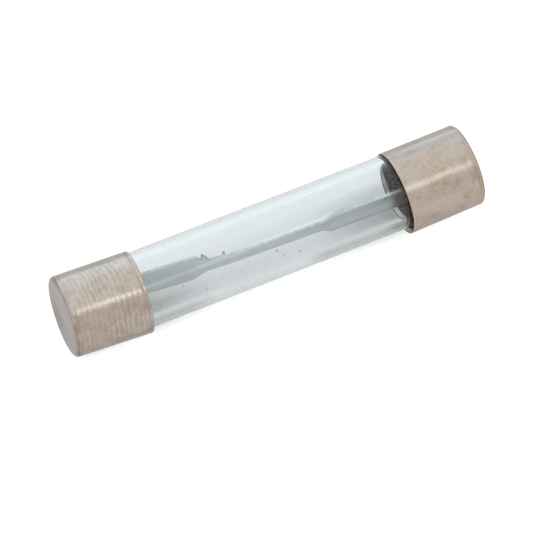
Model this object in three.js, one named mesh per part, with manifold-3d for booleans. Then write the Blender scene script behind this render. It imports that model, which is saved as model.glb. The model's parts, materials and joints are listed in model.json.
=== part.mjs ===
// Glass tube cartridge fuse of the 1/4 in by 1-1/4 in size, in millimetres.
// +X runs along the glass tube towards the right cap, +Z is up, and the origin is the middle of the tube.

import * as THREE from "three";
import { mergeVertices } from "three/addons/utils/BufferGeometryUtils.js";
import Module from "manifold-3d";

const wasm = await Module();
wasm.setup();

// Glass tube
const TUBE_LENGTH = 29.4;
const TUBE_OUTER_R = 2.885;
const TUBE_BORE_R = 2.25;
const TUBE_RIM_R = 0.2; // fire-polished corners of both rims

// End caps, drawn cups that widen slightly towards the mouth
const CAP_LENGTH = 5.965;
const CAP_FLARE = 0.045; // growth in radius from the closed end to the mouth
const CAP_WALL = 0.1;
const CAP_DISC = 0.12; // thickness of the closed end
const CAP_CORNER_R = 0.3;
const CAP_LIP = 0.025; // chamfer on both edges of the mouth

// Each cap went on a little askew: its mouth sits low and its closed end rides up.
// LEAN_ROLL is the direction of "up" here, measured about +X from +Y towards +Z.
const LEAN_ROLL = THREE.MathUtils.degToRad(29.4);
const LEFT_CAP = {
  side: -1,
  endR: 3.095,
  mouthX: 10.274,
  drop: 0.085,
  lean: THREE.MathUtils.degToRad(2.5),
};
const RIGHT_CAP = {
  side: 1,
  endR: 3.135,
  mouthX: 10.368,
  drop: 0.175,
  lean: THREE.MathUtils.degToRad(1.2),
};

// Fuse link, one punched strip with a narrow neck, twisted a little along its length
const LINK_WIDTH = 1.9;
const LINK_NECK = 0.82; // width at the middle of the neck
const LINK_NECK_END = 0.94; // width where the neck meets its shoulders
const LINK_NECK_HALF = 4.2; // the neck widens evenly up to this distance from the middle
const LINK_THICKNESS = 0.3;
const LINK_UPPER_SHOULDERS = [-5.7, -4.65, 4.43, 5.4]; // wide, narrow, narrow and wide again along X
const LINK_LOWER_SHOULDERS = [-6.3, -4.8, 3.99, 4.98];
const LINK_ROLL_LEFT = THREE.MathUtils.degToRad(71); // width direction about +X, from +Y towards +Z
const LINK_ROLL_RIGHT = THREE.MathUtils.degToRad(87);
const LINK_TWIST_HALF = 9.8; // the twist runs evenly between these distances from the middle
const LINK_STEP = 0.3;

// The strip's centreline: x along the tube, and y how far it runs in front of the tube's axis.
// It leaves the left rim behind the axis, sags gently through the tube and reaches the right rim in front.
const LINK_SAG = [
  new THREE.Vector2(-9.7, -0.46),
  new THREE.Vector2(-4.6, 0.16),
  new THREE.Vector2(0, 0.44),
  new THREE.Vector2(5.5, 0.56),
  new THREE.Vector2(9.9, 0.67),
];
const LINK_LEFT_EASE = new THREE.Vector2(-11.4, -0.78); // where the bend to the left rim is heading
const LINK_RIGHT_EASE = new THREE.Vector2(11.6, 0.74);
const LINK_BEND_X = 12.6; // by this distance from the middle each bend heads straight for its rim
const LINK_RIM_OFFSET = 1.75; // distance from the axis just before the fold over a rim
const LINK_FOLD_R = 0.3; // centreline radius of the fold
const LINK_TAB_OFFSET = 2.5; // distance from the axis at the tip of the folded tab

// Solder pool in the closed end of each cap
const SOLDER_DEPTH = 1.1;
const SOLDER_CORNER = 0.25;

const GAP = 0.03; // between pieces that touch
const ROUND_SEGMENTS = 72;
const SOLDER_SEGMENTS = 48;

const nickel = new THREE.MeshStandardMaterial({ color: 0xaaa098, roughness: 0.38, metalness: 1 });
const clearGlass = new THREE.MeshStandardMaterial({
  color: 0xe1e8eb,
  roughness: 0.03,
  metalness: 0,
  transparent: true,
  opacity: 0.35,
});
const zinc = new THREE.MeshStandardMaterial({ color: 0xa3adb0, roughness: 0.5, metalness: 1 });
const tin = new THREE.MeshStandardMaterial({ color: 0x9b9c9e, roughness: 0.45, metalness: 1 });

// Points on an arc of a profile in the (radius, height) plane.
function arc(centreR, centreH, radius, from, to, steps) {
  const points = [];
  for (let i = 0; i <= steps; i++) {
    const angle = from + ((to - from) * i) / steps;
    points.push(new THREE.Vector2(centreR + radius * Math.cos(angle), centreH + radius * Math.sin(angle)));
  }
  return points;
}

// A turned body whose axis runs along +X (side 1) or -X (side -1).
function turned(profile, segments, side) {
  const geometry = new THREE.LatheGeometry(profile, segments);
  geometry.rotateZ((-side * Math.PI) / 2);
  return geometry;
}

function tubeGeometry() {
  const half = TUBE_LENGTH / 2;
  const outer = TUBE_OUTER_R - TUBE_RIM_R;
  const inner = TUBE_BORE_R + TUBE_RIM_R;
  const rim = half - TUBE_RIM_R;
  const profile = [
    ...arc(inner, -rim, TUBE_RIM_R, -Math.PI, -Math.PI / 2, 2),
    ...arc(outer, -rim, TUBE_RIM_R, -Math.PI / 2, 0, 2),
    ...arc(outer, rim, TUBE_RIM_R, 0, Math.PI / 2, 2),
    ...arc(inner, rim, TUBE_RIM_R, Math.PI / 2, Math.PI, 2),
  ];
  profile.push(profile[0].clone());
  return turned(profile, ROUND_SEGMENTS, 1);
}

// The cup's profile runs from the axis inside it, round the mouth at height 0, to the axis outside.
function capGeometry({ side, endR }) {
  const corner = CAP_CORNER_R;
  const boreCorner = CAP_CORNER_R - CAP_WALL;
  const floor = CAP_LENGTH - CAP_DISC;
  const boreEndR = endR - CAP_WALL;
  const mouthR = endR + CAP_FLARE;
  const boreMouthR = mouthR - CAP_WALL;
  const profile = [
    new THREE.Vector2(0, floor),
    ...arc(boreEndR - boreCorner, floor - boreCorner, boreCorner, Math.PI / 2, 0, 3),
    new THREE.Vector2(boreMouthR, CAP_LIP),
    new THREE.Vector2(boreMouthR + CAP_LIP, 0),
    new THREE.Vector2(mouthR - CAP_LIP, 0),
    new THREE.Vector2(mouthR, CAP_LIP),
    ...arc(endR - corner, CAP_LENGTH - corner, corner, 0, Math.PI / 2, 4),
    new THREE.Vector2(0, CAP_LENGTH),
  ];
  return turned(profile, ROUND_SEGMENTS, side);
}

// The solder's profile, with its height measured from the mouth of the cap that holds it.
function solderGeometry({ side, endR }) {
  const back = CAP_LENGTH - CAP_DISC - GAP;
  const radius = endR - CAP_WALL - GAP;
  const profile = [
    new THREE.Vector2(0, back - SOLDER_DEPTH),
    new THREE.Vector2(radius, back - SOLDER_DEPTH),
    new THREE.Vector2(radius, back - SOLDER_CORNER),
    new THREE.Vector2(radius - SOLDER_CORNER, back),
    new THREE.Vector2(0, back),
  ];
  return turned(profile, SOLDER_SEGMENTS, side);
}

// Where a cap sits: its mouth's centre, and the lean of its axis.
function seatMatrix(cap) {
  const up = new THREE.Vector3(0, Math.cos(LEAN_ROLL), Math.sin(LEAN_ROLL));
  const outward = new THREE.Vector3(cap.side, 0, 0);
  const leaned = outward.clone().addScaledVector(up, Math.tan(cap.lean)).normalize();
  const turn = new THREE.Quaternion().setFromUnitVectors(outward, leaned);
  const mouth = outward.clone().multiplyScalar(cap.mouthX).addScaledVector(up, -cap.drop);
  return new THREE.Matrix4().compose(mouth, turn, new THREE.Vector3(1, 1, 1));
}

function linkRoute() {
  const tabX = TUBE_LENGTH / 2 + GAP + LINK_THICKNESS / 2;
  const foldX = tabX - LINK_FOLD_R;
  const foldY = LINK_RIM_OFFSET + LINK_FOLD_R;
  const [first, ...rest] = LINK_SAG;
  const leftEase = LINK_LEFT_EASE;
  const rightEase = LINK_RIGHT_EASE;
  const route = new THREE.Path();
  route.moveTo(-tabX, -LINK_TAB_OFFSET);
  route.lineTo(-tabX, -foldY);
  route.absarc(-foldX, -foldY, LINK_FOLD_R, Math.PI, Math.PI / 2, true);
  route.bezierCurveTo(-LINK_BEND_X, -LINK_RIM_OFFSET, leftEase.x, leftEase.y, first.x, first.y);
  route.splineThru(rest);
  route.bezierCurveTo(rightEase.x, rightEase.y, LINK_BEND_X, LINK_RIM_OFFSET, foldX, LINK_RIM_OFFSET);
  route.absarc(foldX, foldY, LINK_FOLD_R, -Math.PI / 2, 0, false);
  route.lineTo(tabX, LINK_TAB_OFFSET);
  return route;
}

// Distance from the strip's centreline to one of its edges.
function linkHalfWidth(x, shoulders) {
  const [leftWide, leftNarrow, rightNarrow, rightWide] = shoulders;
  const away = Math.min(Math.abs(x) / LINK_NECK_HALF, 1);
  const neck = THREE.MathUtils.lerp(LINK_NECK, LINK_NECK_END, away * away);
  const left = 1 - THREE.MathUtils.smoothstep(x, leftWide, leftNarrow);
  const right = THREE.MathUtils.smoothstep(x, rightNarrow, rightWide);
  return THREE.MathUtils.lerp(neck, LINK_WIDTH, Math.max(left, right)) / 2;
}

// A straight box, shaped along its length into the strip. Clearance makes it thicker and wider all round.
function linkGeometry(clearance) {
  const route = linkRoute();
  const length = route.getLength();
  const strip = new THREE.BoxGeometry(length, 1, 1, Math.round(length / LINK_STEP), 1, 1);
  const position = strip.attributes.position;
  for (let i = 0; i < position.count; i++) {
    const along = THREE.MathUtils.clamp(position.getX(i) / length + 0.5, 0, 1);
    const centre = route.getPoint(along);
    const tangent = route.getTangent(along);
    const shoulders = position.getY(i) > 0 ? LINK_UPPER_SHOULDERS : LINK_LOWER_SHOULDERS;
    const across = Math.sign(position.getY(i)) * (linkHalfWidth(centre.x, shoulders) + clearance);
    const lift = position.getZ(i) * (LINK_THICKNESS + 2 * clearance);
    const reached = THREE.MathUtils.clamp(centre.x / LINK_TWIST_HALF, -1, 1);
    const roll = THREE.MathUtils.lerp(LINK_ROLL_LEFT, LINK_ROLL_RIGHT, (reached + 1) / 2);
    const forward = centre.y + lift * tangent.x;
    position.setXYZ(
      i,
      centre.x - lift * tangent.y,
      across * Math.cos(roll) - forward * Math.sin(roll),
      across * Math.sin(roll) + forward * Math.cos(roll),
    );
  }
  return strip;
}

function toManifold(geometry) {
  const bare = geometry.clone();
  bare.deleteAttribute("normal");
  bare.deleteAttribute("uv");
  const merged = mergeVertices(bare, 1e-5);
  return new wasm.Manifold(
    new wasm.Mesh({
      numProp: 3,
      vertProperties: new Float32Array(merged.attributes.position.array),
      triVerts: new Uint32Array(merged.index.array),
    }),
  );
}

function fromManifold(solid) {
  const mesh = solid.getMesh();
  const geometry = new THREE.BufferGeometry();
  geometry.setAttribute("position", new THREE.BufferAttribute(mesh.vertProperties, 3));
  geometry.setIndex(new THREE.BufferAttribute(mesh.triVerts, 1));
  geometry.computeVertexNormals();
  return geometry;
}

function namedMesh(name, geometry, material) {
  const mesh = new THREE.Mesh(geometry, material);
  mesh.name = name;
  return mesh;
}

// A cap in its seat, in a group that carries the lean.
function seatedCap(name, cap) {
  const group = new THREE.Group();
  group.applyMatrix4(seatMatrix(cap));
  group.add(namedMesh(name, capGeometry(cap), nickel));
  return group;
}

// Solder sits square in its cap and closes round the folded tab of the link.
function solderMesh(name, cap) {
  const pool = toManifold(solderGeometry(cap).applyMatrix4(seatMatrix(cap)));
  const tabSpace = toManifold(linkGeometry(GAP));
  return namedMesh(name, fromManifold(pool.subtract(tabSpace)), tin);
}

const fuse = new THREE.Group();
fuse.add(namedMesh("glass_tube", tubeGeometry(), clearGlass));
fuse.add(seatedCap("left_end_cap", LEFT_CAP));
fuse.add(seatedCap("right_end_cap", RIGHT_CAP));
fuse.add(namedMesh("fuse_link", linkGeometry(0), zinc));
fuse.add(solderMesh("left_solder", LEFT_CAP));
fuse.add(solderMesh("right_solder", RIGHT_CAP));

export default fuse;
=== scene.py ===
"""The looks of a glass tube cartridge fuse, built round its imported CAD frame.

Metres. +X runs along the glass tube towards the right cap and +Z is up. The fuse lies level on a pale floor.
"""

import json
import math
from collections import namedtuple

import bmesh
import bpy
from mathutils import Matrix, Vector, geometry, noise


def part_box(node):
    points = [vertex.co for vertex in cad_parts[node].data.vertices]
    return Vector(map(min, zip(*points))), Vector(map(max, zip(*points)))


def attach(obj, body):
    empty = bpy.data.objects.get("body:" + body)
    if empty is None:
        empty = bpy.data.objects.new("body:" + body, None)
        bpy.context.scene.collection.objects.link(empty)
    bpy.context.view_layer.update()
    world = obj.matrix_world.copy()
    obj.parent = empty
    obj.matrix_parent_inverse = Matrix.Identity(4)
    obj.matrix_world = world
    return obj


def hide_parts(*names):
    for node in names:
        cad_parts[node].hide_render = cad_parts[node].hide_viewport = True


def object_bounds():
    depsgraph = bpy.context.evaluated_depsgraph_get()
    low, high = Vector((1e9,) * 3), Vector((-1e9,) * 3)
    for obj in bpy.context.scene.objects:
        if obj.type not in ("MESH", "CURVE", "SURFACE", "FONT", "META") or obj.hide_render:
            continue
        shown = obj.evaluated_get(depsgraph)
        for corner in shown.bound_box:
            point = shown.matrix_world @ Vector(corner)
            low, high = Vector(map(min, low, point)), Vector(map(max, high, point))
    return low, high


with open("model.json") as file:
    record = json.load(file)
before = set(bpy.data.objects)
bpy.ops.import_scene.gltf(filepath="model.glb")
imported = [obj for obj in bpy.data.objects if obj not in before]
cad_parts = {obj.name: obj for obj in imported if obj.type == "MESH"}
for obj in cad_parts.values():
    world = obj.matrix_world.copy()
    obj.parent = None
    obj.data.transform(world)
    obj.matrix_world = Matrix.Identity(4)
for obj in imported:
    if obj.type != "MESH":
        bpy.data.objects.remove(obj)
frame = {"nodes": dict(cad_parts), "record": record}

CAD_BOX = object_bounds()
MM = 0.001

# Camera, at the photograph's viewing angle. The fuse's middle sits a little above the image's.
VIEW_AZIMUTH = math.radians(-24.615)
VIEW_ELEVATION = math.radians(58.224)
VIEW_DISTANCE = 389.7 * MM
VIEW_LENS = 358.9  # mm, on a sensor of this width
VIEW_SENSOR = 36
VIEW_DROP = 1.862 * MM  # how far the camera is moved down its own picture

# Studio
FLOOR_SIZE = 3
FLOOR_GLOW = 0.86
ROOM_LIGHT = 2.26
LAMP_WAY = Vector((0.2194, -0.479, 0.850))  # from the fuse towards the lamp, to the right of the camera
LAMP_DISTANCE = 0.6
LAMP_SIZE = (0.075, 0.12)
LAMP_POWER = 0.072  # W
LAMP_COLOUR = (0.85, 1.0, 0.97)

# Painted shadow in the floor's glow, under the fuse
UNDER = (  # (y in mm, share of the full shade)
    (-2.0, 0), (-0.9, 1), (0.0, 1), (0.45, 0.74), (0.95, 0.6), (2.6, 0.58), (3.9, 0),
)
UNDER_DEPTH = (0.07, 0.47)  # the full shade, under the middle of the tube and under a cap
UNDER_GROWS = (3.0 * MM, 9.8 * MM)  # distances from the middle between which it deepens
UNDER_ENDS = (14.5 * MM, 16.2 * MM)  # and between which it fades out

# Glass
GLASS_DENSITY = 415  # per metre, for the colour of the glass seen through its walls
GLASS_RIM = 0.2 * MM
GLASS_SEGMENTS = 192
LOW_FRONT_SHADE = (  # (x in mm, share of the light let through low on the tube's front, where a painted shade darkens the glass)
    (-10, 0.64), (-7, 0.656), (-5, 0.96), (2, 1.0), (3.5, 0.68), (7.5, 0.67), (8.6, 0.55), (9.6, 0.3),
)

# Caps. The seat of each one, and its length and radii, are read from the frame.
CAP_WALL = 0.1 * MM
CAP_DISC = 0.12 * MM
CAP_CORNER = 0.3 * MM
CAP_DISH = 0.015 * MM  # how far the middle of the closed end lies behind its rim
CAP_SEGMENTS = 256
CAP_STEPS = 140  # along the barrel
END_FACE_X = -0.05 * MM  # what lies past this belongs to the closed end
CORNER_WEAR = 0.1 * MM  # how far in from the end and from the barrel the corner is worn most
GROOVE_X = -0.39 * MM  # a shallow groove round the barrel, just behind the corner
GROOVE_DEPTH = 0.012 * MM
LINE_HALF = 0.05 * MM  # spread of the groove, the bead line and the seam
RING_PITCH = 0.38 * MM
BEAD_INSET = 0.3 * MM  # distance of the bead line from the mouth
BEAD_DEPTH = 0.03 * MM
RIDGE_INSET = 0.38 * MM  # distance from the mouth of the ridge inside it
RIDGE = 0.13 * MM
RIDGE_BACK = 0.09 * MM  # length of the ridge's inner side
LIP_ROWS = (  # distances from the mouth, in mm, of the rows of points round the ridge
    0.5, 0.46, 0.43, 0.41, 0.39, 0.37, 0.34, 0.31, 0.28, 0.25, 0.22, 0.2, 0.18, 0.16, 0.14, 0.12, 0.1, 0.075,
)
LIP_LINE_INSET = 0.27 * MM  # distance from the mouth of the dark line round the lip
FINE_LINE_HALF = 0.025 * MM  # spread of that line and of the dark edge of the mouth
DISC_INSET = (0.36 * MM, 0.26 * MM)  # the closed end's finish fades out this far from the barrel
GLASS_GAP = 0.012 * MM  # least gap between a cap and the tube
SHADE_TURN_FROM = math.radians(119.4)  # turn about +X from +Y of the line on a cap that faces the camera, from which the painted shade and painted top light on the caps are measured

# Marks on the ringed cap, in its own axes: +X outwards and the turns about it from +Y
GRIMY_SIDE = Vector((0, -0.49, -0.872))  # towards the side of the closed end that is stained brown
GRIMY_RUN = Vector((0, -0.871, 0.491))  # square to that, along the length of the stain
SEAM_X = -0.15 * MM  # a dark line round part of the corner
NICK_X = -0.39 * MM
NICK_TURN = math.radians(54.4)
NICK_SIZE = (0.2 * MM, 0.07 * MM)  # along the cap and round it

# The strip between the caps. Its centreline is in link_route().
LINK_WIDTH = 1.9 * MM
LINK_NECK = 0.82 * MM
LINK_NECK_END = 0.94 * MM
LINK_NECK_HALF = 4.2 * MM
LINK_THICKNESS = 0.3 * MM
LINK_EDGE_R = 0.03 * MM
LINK_TRIM = 0.07 * MM  # taken off the whole lower edge
LINK_RISE = (0.08 * MM, 0.17 * MM)  # added to the upper edge left of its shoulder, growing between
LINK_RISE_X = (-9.7 * MM, -6 * MM)  # these two places
LINK_RAGGED = 0.012 * MM
LINK_ROLL_LEFT = math.radians(71)
LINK_ROLL_RIGHT = math.radians(87)
LINK_TWIST_HALF = 9.8 * MM
LINK_FOLD_R = 0.3 * MM
LINK_RUN = 1.75 * MM
LINK_TAB = 2.5 * MM
LINK_STEP = 0.04 * MM
TOUCH = 0.03 * MM
UPPER_SHOULDER = (  # left, with a torn burr: (x, distance from the centreline) in mm
    (-5.9, 1.12), (-5.66, 1.12), (-5.5, 0.95), (-5.22, 0.83),
    (-5.15, 1.21), (-5.07, 1.14), (-4.68, 0.55), (-3.7, 0.457),
)
LOWER_SHOULDER = (-6.3 * MM, -4.8 * MM)
RIGHT_UPPER_SHOULDER = (4.43 * MM, 5.4 * MM)
RIGHT_LOWER_SHOULDER = (3.99 * MM, 4.98 * MM)
SHADE_RIGHT = (9.2 * MM, 10.3 * MM)  # where the painted shade on the strip near each cap starts and is full
SHADE_LEFT = (10 * MM, 11.4 * MM)

# Crumbs on the wall of the bore: x in mm, turn about +X from +Y in degrees, radius in mm, and what it is,
# from 0 for grey dust to 1 for amber flux
CRUMBS = (
    (-3.83, 111.2, 0.125, 1), (-9.52, 159.4, 0.06, 0.5), (-7.53, 140, 0.055, 0), (-5.83, 163.7, 0.06, 0.5),
    (-4.45, 153.9, 0.047, 0.2), (-2.94, 153.5, 0.05, 0.4), (-0.04, 142, 0.065, 0.1), (0.41, 156, 0.055, 0),
    (1.61, 160.4, 0.07, 0.6), (8.94, 126, 0.07, 0), (5.9, 84, 0.04, 0), (3.1, 100, 0.04, 0.2),
    (-1.4, 78, 0.035, 0), (7.6, 160, 0.045, 0.3),
)


# ---------------------------------------------------------------- meshes


def add_object(name, vertices, faces, smooth_below=40):
    """A mesh object with its normals facing out, smooth but for edges sharper than smooth_below degrees."""
    mesh = bpy.data.meshes.new(name)
    mesh.from_pydata(vertices, [], faces)
    shell = bmesh.new()
    shell.from_mesh(mesh)
    bmesh.ops.recalc_face_normals(shell, faces=shell.faces)
    shell.to_mesh(mesh)
    shell.free()
    mesh.shade_smooth()
    mesh.set_sharp_from_angle(angle=math.radians(smooth_below))
    made = bpy.data.objects.new(name, mesh)
    bpy.context.scene.collection.objects.link(made)
    return made


def turned(name, profile, segments, relief=None):
    """A body turned about its own X axis.

    profile is a list of (x, radius) that starts and ends on the axis, or else closes on itself.
    relief(x, radius, angle) gives how far a point moves outwards.
    """
    on_axis = profile[0][1] == 0
    rows = []
    vertices = []
    for x, radius in profile:
        if radius == 0:
            rows.append([len(vertices)] * segments)
            vertices.append((x, 0, 0))
            continue
        rows.append([len(vertices) + i for i in range(segments)])
        for i in range(segments):
            angle = 2 * math.pi * i / segments
            r = radius + (relief(x, radius, angle) if relief else 0)
            vertices.append((x, r * math.cos(angle), r * math.sin(angle)))
    pairs = list(zip(rows, rows[1:]))
    if not on_axis:
        pairs.append((rows[-1], rows[0]))
    faces = []
    for low, high in pairs:
        for i in range(segments):
            j = (i + 1) % segments
            corners = [low[i], low[j], high[j], high[i]]
            faces.append(list(dict.fromkeys(corners)))
    return add_object(name, vertices, faces)


def arc(centre_x, centre_r, radius, start, end, steps):
    """Points of an arc in the (x, radius) plane, its angles in degrees from straight outwards towards +x."""
    points = []
    for i in range(steps + 1):
        angle = math.radians(start + (end - start) * i / steps)
        points.append((centre_x + radius * math.sin(angle), centre_r + radius * math.cos(angle)))
    return points


def smooth_step(value, low, high):
    share = min(max((value - low) / (high - low), 0), 1)
    return share * share * (3 - 2 * share)


def mix(a, b, share):
    return a + (b - a) * share


def bell(value, middle, half):
    """1 at the middle, falling off smoothly on both sides."""
    return math.exp(-(((value - middle) / half) ** 2))


def set_ramp(ramp, stops):
    """Gives a colour ramp its stops, which are (position, colour) pairs."""
    while len(ramp.elements) < len(stops):
        ramp.elements.new(0.5)
    for element, (position, colour) in zip(ramp.elements, stops):
        element.position = position
        element.color = (*colour, 1)


def add_field(mesh, name, values):
    """A number for each vertex, which the materials read."""
    field = mesh.attributes.new(name, "FLOAT", "POINT").data
    for item, value in zip(field, values):
        item.value = value


# ---------------------------------------------------------------- materials


class Nodes:
    """A material's node tree, with short ways to add and join nodes."""

    def __init__(self, name, place=None):
        """place names the vertex attribute with the piece's own coordinates, if its mesh is not in them."""
        self.material = bpy.data.materials.new(name)
        self.material.use_nodes = True
        self.tree = self.material.node_tree
        self.shader = self.tree.nodes["Principled BSDF"]
        if place:
            self.place = self.add("ShaderNodeAttribute", attribute_name=place).outputs["Vector"]
        else:
            self.place = self.add("ShaderNodeTexCoord").outputs["Object"]

    def add(self, kind, **settings):
        node = self.tree.nodes.new(kind)
        for key, value in settings.items():
            setattr(node, key, value)
        return node

    def join(self, output, socket):
        self.tree.links.new(output, socket)

    def scaled(self, scale):
        """The object's own coordinates, in metres, multiplied by scale."""
        node = self.add("ShaderNodeMapping")
        node.inputs["Scale"].default_value = scale
        self.join(self.place, node.inputs["Vector"])
        return node.outputs["Vector"]

    def noise(self, scale, detail, roughness=0.55):
        node = self.add("ShaderNodeTexNoise")
        node.inputs["Scale"].default_value = 1.0
        node.inputs["Detail"].default_value = detail
        node.inputs["Roughness"].default_value = roughness
        self.join(self.scaled(scale), node.inputs["Vector"])
        return node.outputs["Fac"]

    def ramp(self, value, stops):
        node = self.add("ShaderNodeValToRGB")
        set_ramp(node.color_ramp, stops)
        self.join(value, node.inputs["Fac"])
        return node.outputs["Color"]

    def range(self, value, low, high, new_low, new_high, smooth=False):
        node = self.add("ShaderNodeMapRange", interpolation_type="SMOOTHSTEP" if smooth else "LINEAR")
        for key, number in zip(("From Min", "From Max", "To Min", "To Max"), (low, high, new_low, new_high)):
            node.inputs[key].default_value = number
        self.join(value, node.inputs["Value"])
        return node.outputs["Result"]

    def blend(self, first, second, share):
        """second over first by share, each an output or a colour."""
        node = self.add("ShaderNodeMix", data_type="RGBA")
        for socket, given in ((node.inputs[6], first), (node.inputs[7], second), (node.inputs[0], share)):
            if isinstance(given, bpy.types.NodeSocket):
                self.join(given, socket)
            else:
                socket.default_value = (*given, 1) if isinstance(given, tuple) else given
        return node.outputs[2]

    def tinted(self, first, second):
        """Two colours multiplied."""
        node = self.add("ShaderNodeMix", data_type="RGBA", blend_type="MULTIPLY")
        node.inputs[0].default_value = 1.0
        self.join(first, node.inputs[6])
        self.join(second, node.inputs[7])
        return node.outputs[2]

    def split(self):
        """The X, Y and Z of the piece's own coordinates."""
        node = self.add("ShaderNodeSeparateXYZ")
        self.join(self.place, node.inputs["Vector"])
        return node.outputs["X"], node.outputs["Y"], node.outputs["Z"]

    def sum(self, first, second, share=1.0):
        node = self.add("ShaderNodeMath", operation="MULTIPLY_ADD")
        self.join(second, node.inputs[0])
        node.inputs[1].default_value = share
        self.join(first, node.inputs[2])
        return node.outputs[0]

    def product(self, first, second):
        node = self.add("ShaderNodeMath", operation="MULTIPLY")
        self.join(first, node.inputs[0])
        self.join(second, node.inputs[1])
        return node.outputs[0]

    def bump(self, height, distance, strength=1.0):
        node = self.add("ShaderNodeBump")
        node.inputs["Distance"].default_value = distance
        node.inputs["Strength"].default_value = strength
        self.join(height, node.inputs["Height"])
        self.join(node.outputs["Normal"], self.shader.inputs["Normal"])

    def set(self, **values):
        """Numbers and colours that are the same all over, on the shader's own sockets."""
        for key, value in values.items():
            self.shader.inputs[key.replace("_", " ")].default_value = value

    def field(self, name):
        """A number that the mesh holds for each vertex."""
        return self.add("ShaderNodeAttribute", attribute_name=name).outputs["Fac"]


def nickel(name, ringed):
    """Warm nickel plate. A ringed cap shows its turning rings, with painted light on their crests and
    painted shade in their valleys, and the other one is dulled and blotchy. Painted shade darkens the smooth
    cap by its turn, painted light pales the top of both, and a painted highlight lies on the lip inside each
    mouth.
    """
    n = Nodes(name, "cup_place")
    n.set(Specular_Tint=(0.66, 0.66, 0.66, 1))
    ring, disc, inside, lip = (n.field(key) for key in ("ring", "disc", "inside", "lip"))
    streak = n.noise((6500, 900, 900), detail=5, roughness=0.65)
    blotch = n.noise((900, 1100, 1100), detail=6, roughness=0.7)
    grain = n.noise((8000, 8000, 8000), detail=4, roughness=0.6)
    if ringed:
        shades = ((0.285, 0.222, 0.182), (0.337, 0.277, 0.235), (0.385, 0.335, 0.295))
    else:
        shades = ((0.32, 0.25, 0.20), (0.385, 0.318, 0.268), (0.385, 0.335, 0.308))
    base = n.ramp(blotch, list(zip((0.36, 0.5, 0.66), shades)))
    streaked = n.blend(base, (0.44, 0.40, 0.362), n.range(streak, 0.48, 0.8, 0.0, 0.6 if ringed else 0.35))
    bright = n.range(grain, 0.52, 0.78, 0.0, 0.4 if ringed else 0.25)
    dark = n.range(grain, 0.48, 0.22, 0.0, 0.5 if ringed else 0.4)
    dulled = n.blend(n.blend(streaked, (0.42, 0.38, 0.345), bright), (0.22, 0.16, 0.125), dark)
    # painted light on the ring crests and painted shade in their valleys, beside their real relief
    crest_light = n.range(ring, 0.5, 1.0, 0.0, 0.22 if ringed else 0.05)
    valley_shade = n.range(ring, 0.5, 0.0, 0.0, 0.2 if ringed else 0.05)
    barrel = n.blend(n.blend(dulled, (0.50, 0.45, 0.405), crest_light), (0.24, 0.18, 0.145), valley_shade)
    end_shades = ((0.30, 0.235, 0.185), (0.34, 0.297, 0.256), (0.36, 0.33, 0.30))
    faced = n.blend(barrel, n.ramp(blotch, list(zip((0.38, 0.5, 0.64), end_shades))), disc)
    # painted shade: the smooth cap's colour is multiplied darker by its turn from the line facing the camera
    painted_shades = ((1, 1, 1), (0.917, 0.887, 0.866), (0.75, 0.74, 0.77))
    back_shaded = n.tinted(faced, n.ramp(n.field("tone"), list(zip((0, 0.5, 1), painted_shades))))
    # painted light: a paler, bluer band along the top of each cap, for the bright room it reflects
    top_light_share = n.range(n.field("painted_top_light"), 0, 1, 0, 0.42 if ringed else 0.25)
    top_lit = n.blend(back_shaded, (0.40, 0.39, 0.36), top_light_share)
    worn = n.blend(top_lit, (0.23, 0.165, 0.125), n.field("wear"))
    tarnish_shades = ((0.26, 0.15, 0.135), (0.53, 0.36, 0.33), (1, 0.86, 0.8))
    cloud = n.noise((7000, 7000, 7000), detail=3, roughness=0.7)
    lined = n.blend(worn, n.ramp(cloud, list(zip((0.4, 0.53, 0.63), tarnish_shades))), inside)
    # painted highlight: the flared lip just inside the mouth is painted far paler than the nickel, for the
    # light it catches
    n.join(n.blend(lined, (0.92, 0.77, 0.69), lip), n.shader.inputs["Base Color"])
    n.join(n.range(inside, 0, 1, 1, 0.35), n.shader.inputs["Metallic"])
    low, high = (0.16, 0.27) if ringed else (0.21, 0.29)
    sheen = n.range(n.sum(blotch, streak, 0.6), 0.5, 1.2, low, high)
    n.join(n.sum(n.sum(sheen, inside, 0.3), lip, 0.1), n.shader.inputs["Roughness"])
    n.bump(n.sum(streak, grain, 0.6), 0.0035 * MM)
    return n.material


def zinc():
    """Dull rolled zinc, with fine lengthwise lines, small pits, a rough cut edge and painted shade on its
    faces towards each cap.
    """
    n = Nodes("rolled_zinc")
    n.set(Metallic=1.0, Specular_Tint=(0.8, 0.8, 0.8, 1))
    rolling = n.noise((500, 9000, 9000), detail=4)
    cloud = n.noise((800, 1500, 1500), detail=4)
    pits = n.noise((12000, 12000, 12000), detail=2)
    base = n.ramp(cloud, [(0.3, (0.53, 0.563, 0.578)), (0.7, (0.6, 0.635, 0.652))])
    lined = n.blend(base, (0.7, 0.715, 0.715), n.range(rolling, 0.5, 0.8, 0.0, 0.5))
    pitted = n.blend(lined, (0.27, 0.275, 0.275), n.range(pits, 0.66, 0.78, 0.0, 0.6))
    left_end = n.range(n.split()[0], -5.4 * MM, -6.6 * MM, 0.0, 0.16, smooth=True)
    dulled = n.blend(pitted, (0.36, 0.385, 0.395), left_end)
    torn = n.range(n.noise((2500, 6000, 6000), detail=3), 0.4, 0.6, 0.25, 1.0)
    cut = n.blend(dulled, (0.37, 0.38, 0.385), n.product(n.field("cut"), torn))
    # painted shade: the strip's faces darken where they run into the caps
    n.join(n.blend(cut, (0.10, 0.085, 0.085), n.field("near_cap_shade")), n.shader.inputs["Base Color"])
    n.join(n.range(cloud, 0.3, 0.7, 0.3, 0.42), n.shader.inputs["Roughness"])
    n.bump(n.sum(rolling, pits, 0.6), 0.005 * MM)
    return n.material


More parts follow.
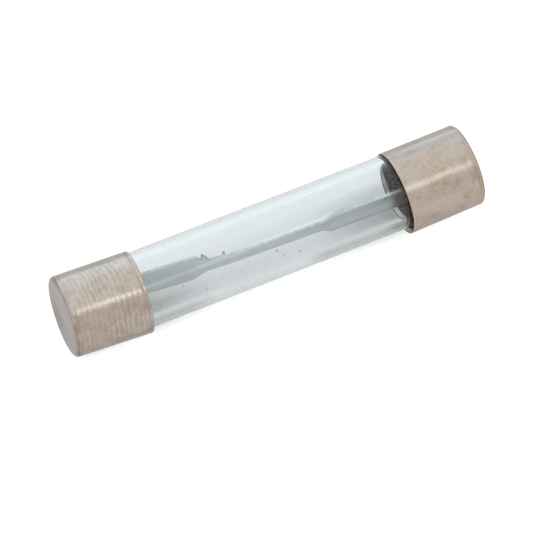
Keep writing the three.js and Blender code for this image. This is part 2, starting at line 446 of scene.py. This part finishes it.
def clear_glass():
    """Clear glass with drawn ripples, a breath of haze and a painted shade low on its front. Its body takes
    up a little light.
    """
    n = Nodes("clear_glass")
    n.set(Transmission_Weight=1.0, IOR=1.5, Specular_Tint=(0.55, 0.5, 0.48, 1))
    ripple = n.noise((60, 700, 700), detail=2)
    haze = n.noise((2500, 2500, 2500), detail=4)
    tint = n.ramp(haze, [(0.35, (0.99, 0.99, 0.99)), (0.7, (0.965, 0.97, 0.97))])
    x, y, z = n.split()
    # painted shade low on the tube's front, deepest near the caps and under the strip's wide parts
    front = n.range(y, -2.3 * MM, -2.6 * MM, 0, 1)
    low_front = n.product(n.range(z, 0.7 * MM, 0.0, 0, 1, smooth=True), front)
    reach = 10  # mm each side of the middle
    along = n.range(x, -reach * MM, reach * MM, 0, 1)
    low_front_shade = n.ramp(along, [(at / (2 * reach) + 0.5, (left,) * 3) for at, left in LOW_FRONT_SHADE])
    n.join(n.tinted(tint, n.blend((1.0, 1.0, 1.0), low_front_shade, low_front)), n.shader.inputs["Base Color"])
    n.join(n.range(haze, 0.5, 0.8, 0.0, 0.05), n.shader.inputs["Roughness"])
    n.bump(ripple, 0.02 * MM, 0.4)
    body = n.add("ShaderNodeVolumeAbsorption")
    body.inputs["Color"].default_value = (0.29, 0.37, 0.38, 1)
    body.inputs["Density"].default_value = GLASS_DENSITY
    n.join(body.outputs["Volume"], n.tree.nodes["Material Output"].inputs["Volume"])
    return n.material


def solder():
    """Soft solder that has set dull, with a fine crystal mottle."""
    n = Nodes("set_solder")
    n.set(Metallic=1.0)
    crystals = n.noise((3000, 3000, 3000), detail=5)
    shades = n.ramp(crystals, [(0.35, (0.34, 0.345, 0.35)), (0.65, (0.47, 0.475, 0.48))])
    n.join(shades, n.shader.inputs["Base Color"])
    n.join(n.range(crystals, 0.3, 0.7, 0.35, 0.55), n.shader.inputs["Roughness"])
    n.bump(crystals, 0.01 * MM)
    return n.material


def pale_floor():
    """A pale sheet that glows evenly, with a painted shadow in its glow: a little darker under the fuse and
    most of all near the caps.
    """
    n = Nodes("pale_floor")
    n.set(Base_Color=(0.22, 0.22, 0.22, 1), Roughness=0.9, Emission_Color=(1, 1, 1, 1))
    x, y = n.split()[:2]
    front, back = UNDER[0][0], UNDER[-1][0]
    across = n.range(y, front * MM, back * MM, 0, 1)
    under = n.ramp(across, [((at - front) / (back - front), (share,) * 3) for at, share in UNDER])
    off_middle = n.add("ShaderNodeMath", operation="ABSOLUTE")
    n.join(x, off_middle.inputs[0])
    depth = n.range(off_middle.outputs[0], *UNDER_GROWS, *UNDER_DEPTH, smooth=True)
    inside = n.range(off_middle.outputs[0], *UNDER_ENDS, 1, 0, smooth=True)
    shade = n.product(n.product(under, depth), inside)
    n.join(n.range(shade, 0, 1, FLOOR_GLOW, FLOOR_GLOW - 1), n.shader.inputs["Emission Strength"])
    return n.material


def specks():
    """Crumbs of flux and dust, from amber to grey."""
    n = Nodes("flux_crumbs")
    tone = n.noise((9000, 9000, 9000), detail=2)
    shades = ((0.17, 0.165, 0.16), (0.42, 0.34, 0.22), (0.82, 0.49, 0.19))
    kinds = n.ramp(n.field("amber"), list(zip((0, 0.5, 1), shades)))
    mottle = n.ramp(tone, [(0.35, (0.7, 0.7, 0.7)), (0.65, (1, 1, 1))])
    n.join(n.tinted(kinds, mottle), n.shader.inputs["Base Color"])
    n.join(n.range(tone, 0.3, 0.7, 0.45, 0.8), n.shader.inputs["Roughness"])
    return n.material


# ---------------------------------------------------------------- pieces


Cup = namedtuple("Cup", "length mouth_radius end_radius ringed")


def mount_place(name):
    """(point, direction) of a mount of the frame."""
    mount = next(m for m in frame["record"]["mounts"] if m["name"] == name)
    return Vector(mount["pos_m"]), Vector(mount["axis"]).normalized()


def measure_cap(node, end, outward, ringed):
    """The sizes of a cap, from its CAD mesh."""
    points = []
    for vertex in frame["nodes"][node].data.vertices:
        along = (vertex.co - end).dot(outward)
        across = (vertex.co - end - outward * along).length
        points.append((along, across))
    return Cup(
        length=-min(along for along, across in points),
        mouth_radius=max(across for along, across in points),
        end_radius=max(across for along, across in points if along > -2 * CAP_CORNER),
        ringed=ringed,
    )


def inner_ridge(from_mouth):
    """How far the bore narrows in the flared lip just inside a mouth, up to the ridge behind it."""
    straight = min(max(from_mouth / RIDGE_INSET, 0), 1)
    rise = 0.35 * smooth_step(from_mouth, 0, RIDGE_INSET) + 0.65 * straight
    return RIDGE * rise * (1 - smooth_step(from_mouth, RIDGE_INSET, RIDGE_INSET + RIDGE_BACK))


def cap_profile(cup):
    """(x, radius) of a cup from the inside out. Its closed end is at x = 0 and its mouth at x = -length."""
    bore_floor = -CAP_DISC
    bore_end = cup.end_radius - CAP_WALL
    bore_mouth = cup.mouth_radius - CAP_WALL
    bore_corner = CAP_CORNER - CAP_WALL
    bore_start = bore_floor - bore_corner
    points = [(bore_floor, 0.0)]
    points += [(bore_floor, bore_end * share) for share in (0.3, 0.6, 0.85)]
    points += arc(bore_start, bore_end - bore_corner, bore_corner, 90, 0, 6)
    for i in range(1, 11):
        points.append((mix(bore_start, -cup.length, i / 12), mix(bore_end, bore_mouth, i / 12)))
    for from_mouth in LIP_ROWS:
        points.append((from_mouth * MM - cup.length, bore_mouth - inner_ridge(from_mouth * MM)))

    lip = CAP_WALL / 2
    start = -cup.length + lip
    points += arc(start, cup.mouth_radius - lip, lip, -180, 0, 8)
    for i in range(1, CAP_STEPS):
        x = mix(start, -CAP_CORNER, i / CAP_STEPS)
        radius = mix(cup.mouth_radius, cup.end_radius, i / CAP_STEPS)
        radius -= GROOVE_DEPTH * bell(x, GROOVE_X, LINE_HALF)
        if cup.ringed:
            radius -= BEAD_DEPTH * bell(x + cup.length, BEAD_INSET, LINE_HALF)
        points.append((x, radius))

    flat = cup.end_radius - CAP_CORNER
    points += arc(-CAP_CORNER, flat, CAP_CORNER, 0, 90, 10)
    for share in (0.97, 0.9, 0.75, 0.55, 0.35, 0.18):
        points.append((-CAP_DISH * (1 - share), flat * share))
    points.append((-CAP_DISH, 0.0))
    return points


def rings(x, angle):
    """(direction, sway, wave) of the turning rings at a place on the barrel.

    wave is 0 in their valleys and 1 on their crests. They wander a little round the cap.
    """
    turn = Vector((math.cos(angle), math.sin(angle), 0))
    sway = noise.noise(turn * 1.7 + Vector((0, 0, x / MM * 0.5)))
    drift = 0.5 * sway + 0.22 * noise.noise(turn * 6 + Vector((0, 3, x / MM * 1.6)))
    depth = smooth_step(noise.noise(turn * 1.6 + Vector((8, 0, x / MM * 0.7))), -0.45, 0.45)
    wave = 0.5 + 0.5 * mix(0.3, 1, depth) * math.sin(2 * math.pi * (x / RING_PITCH + drift))
    return turn, sway, wave


def cap_relief(cup, x, radius, angle):
    """How far a point of the barrel moves outwards. It is never above 0."""
    if radius <= cup.end_radius - CAP_WALL / 2 or x >= -CAP_CORNER:
        return 0
    turn, sway, wave = rings(x, angle)
    if cup.ringed:
        return (0.0038 * (wave - 1) + 0.004 * (sway - 1)) * MM
    dent = noise.noise(turn * 2.5 + Vector((5, 0, x / MM * 0.9)))
    return (0.008 * (dent - 1) + 0.001 * (wave - 1)) * MM


def lip_line(from_mouth):
    """The dark line round the flared lip."""
    return 0.8 * bell(from_mouth, LIP_LINE_INSET, FINE_LINE_HALF)


def dark_marks(cup, co, in_bore):
    """How far wear, dirt and the dark lines show at a point of a cap."""
    radius = math.hypot(co.y, co.z)
    from_mouth = co.x + cup.length
    patchy = 0.6 + 0.8 * noise.noise(co * 1100)
    to_corner = math.hypot(co.x + CORNER_WEAR, radius - cup.end_radius + CORNER_WEAR)
    worn = max(0.0, 1.0 - to_corner / CAP_CORNER)
    mouth_face = bell(from_mouth, 0, FINE_LINE_HALF) * (radius < cup.mouth_radius - CAP_WALL / 4)
    if in_bore:
        return max(patchy * worn, mouth_face, lip_line(from_mouth))
    worn += 0.75 * bell(co.x, GROOVE_X, LINE_HALF)
    if not cup.ringed:
        return max(patchy * worn, mouth_face)

    run = co.dot(GRIMY_RUN) / MM
    worn += 0.95 * smooth_step(-run, -0.1, 0.5) * bell(co.x, SEAM_X, LINE_HALF)
    bead = 0.6 * bell(from_mouth, BEAD_INSET, LINE_HALF)
    round_to_nick = radius * (math.atan2(co.z, co.y) - NICK_TURN)
    nick = bell(co.x, NICK_X, NICK_SIZE[0]) * bell(round_to_nick, 0, NICK_SIZE[1])
    grime = 0.0
    if co.x > END_FACE_X:
        grime = 1.05 * smooth_step(co.dot(GRIMY_SIDE) / cup.end_radius, -0.02, 0.35)
        grime *= bell(run, 0.4, 1.35) * (0.85 + 0.6 * noise.noise(co * 1500))
    return max(patchy * worn + bead, mouth_face, nick, grime)


def bore_finish(from_mouth):
    """(tarnish, painted highlight on the flared lip) at a distance from the mouth inside a cap."""
    tarnish = smooth_step(from_mouth, RIDGE_INSET - 0.04 * MM, RIDGE_INSET + 0.03 * MM)
    flared = smooth_step(from_mouth, 0.05 * MM, 0.09 * MM)
    flared *= 1 - smooth_step(from_mouth, RIDGE_INSET - 0.04 * MM, RIDGE_INSET)
    return tarnish, max(0.0, 0.95 * flared - lip_line(from_mouth))


def mark_cap(mesh, cup, mouth_row):
    """Writes the fields that nickel() reads on a mesh in the cap's own axes, all but the painted shade in
    tone and the painted top light.
    """
    place = mesh.attributes.new("cup_place", "FLOAT_VECTOR", "POINT").data
    for item, vertex in zip(place, mesh.vertices):
        item.vector = vertex.co
    fields = {key: [] for key in ("wear", "ring", "disc", "inside", "lip")}
    for i, vertex in enumerate(mesh.vertices):
        co = vertex.co
        row = (i - 1) // CAP_SEGMENTS + 1  # the first point is alone on the axis
        in_bore = row < mouth_row
        tarnish, lip = bore_finish(co.x + cup.length) if in_bore else (0.0, 0.0)
        ring = 0.5
        if not in_bore and co.x < -CAP_CORNER:
            ring = rings(co.x, math.atan2(co.z, co.y))[2]
        rim = smooth_step(math.hypot(co.y, co.z), *(cup.end_radius - inset for inset in DISC_INSET))
        fields["wear"].append(min(1.0, max(0.0, dark_marks(cup, co, in_bore))))
        fields["ring"].append(ring)
        fields["disc"].append(1.0 - rim if co.x > END_FACE_X else 0.0)
        fields["inside"].append(tarnish)
        fields["lip"].append(lip)
    for key, values in fields.items():
        add_field(mesh, key, values)
    return fields


def cap(name, node, mount, ringed):
    """A drawn cup, in its seat in the frame, closed end outwards."""
    end, outward = mount_place(mount)
    cup = measure_cap(node, end, outward, ringed)
    profile = cap_profile(cup)
    piece = turned(name, profile, CAP_SEGMENTS, lambda *at: cap_relief(cup, *at))
    mesh = piece.data
    fields = mark_cap(mesh, cup, mouth_row=min(range(len(profile)), key=lambda row: profile[row][0]))
    mesh.transform(Matrix.Translation(end) @ outward.to_track_quat("X", "Z").to_matrix().to_4x4())

    painted_shades = []
    painted_top_lights = []
    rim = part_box("glass_tube")[1]
    clear_of = rim.z + GLASS_GAP
    for i, vertex in enumerate(mesh.vertices):
        x, y, z = vertex.co
        away = math.hypot(y, z)
        if fields["inside"][i] + fields["lip"][i] > 0 and away < clear_of and abs(x) < rim.x:
            vertex.co = (x, y * clear_of / away, z * clear_of / away)
        past = math.degrees(SHADE_TURN_FROM - math.atan2(z, y))  # how far round from that line towards the back
        on_barrel = 1 - fields["disc"][i]
        # painted shade on the smooth cap past the line facing the camera, deeper in a band below its top
        darker = 0.5 * smooth_step(past, -6, 4) + 0.5 * smooth_step(past, 36, 48) - smooth_step(past, 50, 62)
        painted_shades.append(0 if ringed else on_barrel * darker)
        # painted light: the band along the top of both caps that nickel() paints paler and bluer
        painted_top_lights.append(on_barrel * (smooth_step(past, 50, 60) - smooth_step(past, 100, 130)))
    add_field(mesh, "tone", painted_shades)
    add_field(mesh, "painted_top_light", painted_top_lights)

    mesh.materials.append(nickel(name + "_nickel", ringed))
    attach(piece, "root")
    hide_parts(node)
    return piece


def bore_radius():
    """The tube's inner radius, from its CAD mesh."""
    return min(math.hypot(v.co.y, v.co.z) for v in frame["nodes"]["glass_tube"].data.vertices)


def tube():
    """The glass tube, a closed ring with fire-polished rims."""
    low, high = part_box("glass_tube")
    outer = high.z
    bore = bore_radius()
    left = low.x + GLASS_RIM
    right = high.x - GLASS_RIM
    profile = arc(right, outer - GLASS_RIM, GLASS_RIM, 0, 90, 8)
    profile += arc(right, bore + GLASS_RIM, GLASS_RIM, 90, 180, 8)
    profile += [(mix(right, left, i / 60), bore) for i in range(1, 60)]
    profile += arc(left, bore + GLASS_RIM, GLASS_RIM, 180, 270, 8)
    profile += arc(left, outer - GLASS_RIM, GLASS_RIM, 270, 360, 8)
    profile += [(mix(left, right, i / 60), outer) for i in range(1, 60)]
    piece = turned("clear_tube", profile[::-1], GLASS_SEGMENTS)
    piece.data.materials.append(clear_glass())
    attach(piece, "root")
    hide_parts("glass_tube")
    return piece


def link_route():
    """The strip's centreline in a plane: x along the tube, y towards the strip's front face.

    It runs from the tab behind the left rim, over that rim, through the tube and over the right rim.
    """
    tab_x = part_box("glass_tube")[1].x + TOUCH + LINK_THICKNESS / 2
    fold_x = tab_x - LINK_FOLD_R
    fold_y = LINK_RUN + LINK_FOLD_R

    def curve(*corners):
        points = [Vector((x * MM, y * MM, 0)) for x, y in corners]
        return geometry.interpolate_bezier(*points, 60)

    def fold(side):
        points = []
        for i in range(17):
            angle = math.pi / 2 * i / 16
            x = fold_x + LINK_FOLD_R * math.sin(angle)
            y = fold_y - LINK_FOLD_R * math.cos(angle)
            points.append(Vector((side * x, side * y, 0)))
        return points

    run = LINK_RUN / MM
    end = fold_x / MM
    route = [Vector((-tab_x, -LINK_TAB, 0))] + fold(-1)[::-1]
    route += curve((-end, -run), (-12.6, -run), (-11.4, -0.78), (-9.7, -0.46))[1:]
    route += curve((-9.7, -0.46), (-8.0, -0.25), (-6.2, 0.01), (-4.6, 0.16))[1:]
    route += curve((-4.6, 0.16), (-3.0, 0.31), (-1.6, 0.38), (0, 0.44))[1:]
    route += curve((0, 0.44), (1.7, 0.50), (3.6, 0.52), (5.5, 0.56))[1:]
    route += curve((5.5, 0.56), (7.0, 0.60), (8.5, 0.63), (9.9, 0.67))[1:]
    route += curve((9.9, 0.67), (11.6, 0.74), (12.6, run), (end, run))[1:-1]
    route += fold(1) + [Vector((tab_x, LINK_TAB, 0))]
    return route


def resampled(route, step):
    """Points of the route at even steps along it."""
    lengths = [0.0]
    for a, b in zip(route, route[1:]):
        lengths.append(lengths[-1] + (b - a).length)
    count = round(lengths[-1] / step)
    points = []
    at = 0
    for i in range(count + 1):
        wanted = lengths[-1] * i / count
        while at < len(route) - 2 and lengths[at + 1] < wanted:
            at += 1
        share = (wanted - lengths[at]) / (lengths[at + 1] - lengths[at])
        points.append(route[at].lerp(route[at + 1], share))
    return points


def neck_half(x):
    """Half the width of the neck, which widens a little towards its shoulders."""
    away = min(abs(x) / LINK_NECK_HALF, 1)
    return mix(LINK_NECK, LINK_NECK_END, away * away) / 2


def upper_edge(x):
    """Distance from the strip's centreline up to its upper edge."""
    if x >= UPPER_SHOULDER[-1][0] * MM:
        return mix(neck_half(x), LINK_WIDTH / 2, smooth_step(x, *RIGHT_UPPER_SHOULDER))
    for (x0, up0), (x1, up1) in zip(UPPER_SHOULDER, UPPER_SHOULDER[1:]):
        if x < x0 * MM:
            break
        if x < x1 * MM:
            return mix(up0, up1, (x / MM - x0) / (x1 - x0)) * MM
    return LINK_WIDTH / 2 + mix(*LINK_RISE, smooth_step(x, *LINK_RISE_X))


def lower_edge(x):
    """Distance from the strip's centreline down to its lower edge."""
    wide = max(1 - smooth_step(x, *LOWER_SHOULDER), smooth_step(x, *RIGHT_LOWER_SHOULDER))
    return mix(neck_half(x), LINK_WIDTH / 2, wide) - LINK_TRIM


def link_shade(x):
    """How dark the strip's faces are painted with shade: a little from 6 mm right of the middle, and most
    near and inside each cap.
    """
    in_cap = max(smooth_step(x, *SHADE_RIGHT), smooth_step(-x, *SHADE_LEFT))
    return 0.08 * smooth_step(x, 6 * MM, 8 * MM) + 0.87 * in_cap**1.5


def link_corners():
    """The points of the strip's section in order round it, as (edge, face, across, lift).

    edge is 1 for the upper edge and -1 for the lower one, and face is 1 for the front and -1 for the back.
    across and lift are shares of the corner's radius, across the strip and out of its face.
    """
    rounded = [(math.cos(a), math.sin(a)) for a in (0, math.pi / 4, math.pi / 2)]
    corners = []
    for edge, face in ((1, 1), (1, -1), (-1, -1), (-1, 1)):
        points = rounded[::-1] if edge == face else rounded
        corners += [(edge, face, across, lift) for across, lift in points]
    return corners


def link():
    """The punched strip, with rounded edges."""
    stations = resampled(link_route(), LINK_STEP)
    corners = link_corners()
    half = LINK_THICKNESS / 2 - LINK_EDGE_R
    vertices = []
    near_cap_shades = []
    cuts = []
    for index, centre in enumerate(stations):
        before = stations[max(index - 1, 0)]
        after = stations[min(index + 1, len(stations) - 1)]
        tangent = (after - before).normalized()
        reached = min(max(centre.x / LINK_TWIST_HALF, -1), 1)
        roll = mix(LINK_ROLL_LEFT, LINK_ROLL_RIGHT, (reached + 1) / 2)
        width_way = Vector((0, math.cos(roll), math.sin(roll)))
        front = Vector((0, -math.sin(roll), math.cos(roll)))
        ragged = LINK_RAGGED * noise.noise(Vector((centre.x / MM * 3.0, 1.5, 0)))
        top = upper_edge(centre.x) - LINK_EDGE_R + ragged
        bottom = lower_edge(centre.x) - LINK_EDGE_R - ragged
        for edge, face, across, lift in corners:
            up = edge * ((top if edge > 0 else bottom) + LINK_EDGE_R * across)
            out = face * (half + LINK_EDGE_R * lift)
            x = centre.x - out * tangent.y
            forward = centre.y + out * tangent.x
            vertices.append(Vector((x, 0, 0)) + front * forward + width_way * up)
            near_cap_shades.append(lift * (0.75 if edge > 0 else 1) * link_shade(x))
            cuts.append(0.9 * (edge > 0) * across)

    ring = len(corners)
    last = (len(stations) - 1) * ring
    faces = []
    for i in range(0, last, ring):
        for j in range(ring):
            k = (j + 1) % ring
            faces.append([i + j, i + k, i + ring + k, i + ring + j])
    faces.append(list(range(ring))[::-1])
    faces.append(list(range(last, last + ring)))
    piece = add_object("punched_link", vertices, faces, 35)
    add_field(piece.data, "near_cap_shade", near_cap_shades)
    add_field(piece.data, "cut", cuts)
    piece.data.materials.append(zinc())
    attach(piece, "root")
    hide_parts("fuse_link")
    return piece


def solders():
    """The pools keep their CAD shape and get a material of their own."""
    material = solder()
    for node in ("left_solder", "right_solder"):
        slots = frame["nodes"][node].data.materials
        slots.clear()
        slots.append(material)


def crumbs():
    """A few crumbs stuck to the wall of the bore, each a small lumpy ball."""
    bore = bore_radius()
    vertices = []
    faces = []
    ambers = []
    for index, (x, turn, size, kind) in enumerate(CRUMBS):
        angle = math.radians(turn)
        radius = size * MM
        out = bore - radius
        centre = Vector((x * MM, out * math.cos(angle), out * math.sin(angle)))
        ball = bmesh.new()
        bmesh.ops.create_icosphere(ball, subdivisions=2, radius=radius * 0.85)
        first = len(vertices)
        for vertex in ball.verts:
            lump = 1 + 0.25 * noise.noise(vertex.co / radius * 1.3 + Vector((index, 0, 0)))
            vertices.append(centre + vertex.co * lump)
            ambers.append(kind)
        faces += [[first + corner.index for corner in face.verts] for face in ball.faces]
        ball.free()
    piece = add_object("flux_crumbs", vertices, faces)
    add_field(piece.data, "amber", ambers)
    piece.data.materials.append(specks())
    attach(piece, "root")
    return piece


# ---------------------------------------------------------------- studio and camera


def floor():
    """A plain sheet that the fuse lies on."""
    bpy.ops.mesh.primitive_plane_add(size=FLOOR_SIZE, location=(0, 0, CAD_BOX[0].z))
    sheet = bpy.context.object
    sheet.name = "floor"
    sheet.data.materials.append(pale_floor())


def room():
    """Soft light all round, brighter and bluer from behind."""
    world = bpy.data.worlds.new("soft_room")
    bpy.context.scene.world = world
    world.use_nodes = True
    tree = world.node_tree
    background = tree.nodes["Background"]
    background.inputs["Strength"].default_value = ROOM_LIGHT
    place = tree.nodes.new("ShaderNodeTexCoord")
    parts = tree.nodes.new("ShaderNodeSeparateXYZ")
    spread = tree.nodes.new("ShaderNodeMapRange")
    spread.inputs["From Min"].default_value = -1.0
    walls = tree.nodes.new("ShaderNodeValToRGB")
    set_ramp(walls.color_ramp, (
        (0.16, (0.52, 0.515, 0.51)),
        (0.27, (0.635, 0.665, 0.665)),
        (0.5, (0.65, 0.705, 0.71)),
        (0.72, (0.675, 0.735, 0.75)),
        (0.84, (0.665, 0.735, 0.775)),
        (0.96, (0.77, 0.90, 0.99)),
    ))
    tree.links.new(place.outputs["Generated"], parts.inputs["Vector"])
    tree.links.new(parts.outputs["Y"], spread.inputs["Value"])
    tree.links.new(spread.outputs["Result"], walls.inputs["Fac"])
    tree.links.new(walls.outputs["Color"], background.inputs["Color"])


def lamp():
    """One soft lamp, near the camera."""
    light = bpy.data.lights.new("soft_lamp", "AREA")
    light.shape = "RECTANGLE"
    light.size, light.size_y = LAMP_SIZE
    light.energy = LAMP_POWER
    light.color = LAMP_COLOUR
    holder = bpy.data.objects.new("soft_lamp", light)
    away = LAMP_WAY.normalized()
    holder.location = away * LAMP_DISTANCE
    holder.rotation_mode = "QUATERNION"
    holder.rotation_quaternion = away.to_track_quat("Z", "Y")
    bpy.context.scene.collection.objects.link(holder)


def camera():
    """The camera, which looks at the middle of the tube and is then moved down its own picture."""
    a, e = VIEW_AZIMUTH, VIEW_ELEVATION
    back = Vector((math.sin(a) * math.cos(e), -math.cos(a) * math.cos(e), math.sin(e)))
    right = Vector((math.cos(a), math.sin(a), 0))
    up = back.cross(right)
    data = bpy.data.cameras.new("camera")
    data.lens = VIEW_LENS
    data.sensor_width = VIEW_SENSOR
    data.clip_start = 0.01
    data.clip_end = 10
    made = bpy.data.objects.new("camera", data)
    place = Matrix.Translation(back * VIEW_DISTANCE - up * VIEW_DROP)
    made.matrix_world = place @ Matrix((right, up, back)).transposed().to_4x4()
    bpy.context.scene.collection.objects.link(made)
    bpy.context.scene.camera = made


camera()
floor()
room()
lamp()
bpy.context.scene.view_settings.view_transform = "Standard"
tube()
cap("nickel_cap_left", "left_end_cap", "left_end_face", True)
cap("nickel_cap_right", "right_end_cap", "right_end_face", False)
link()
solders()
crumbs()
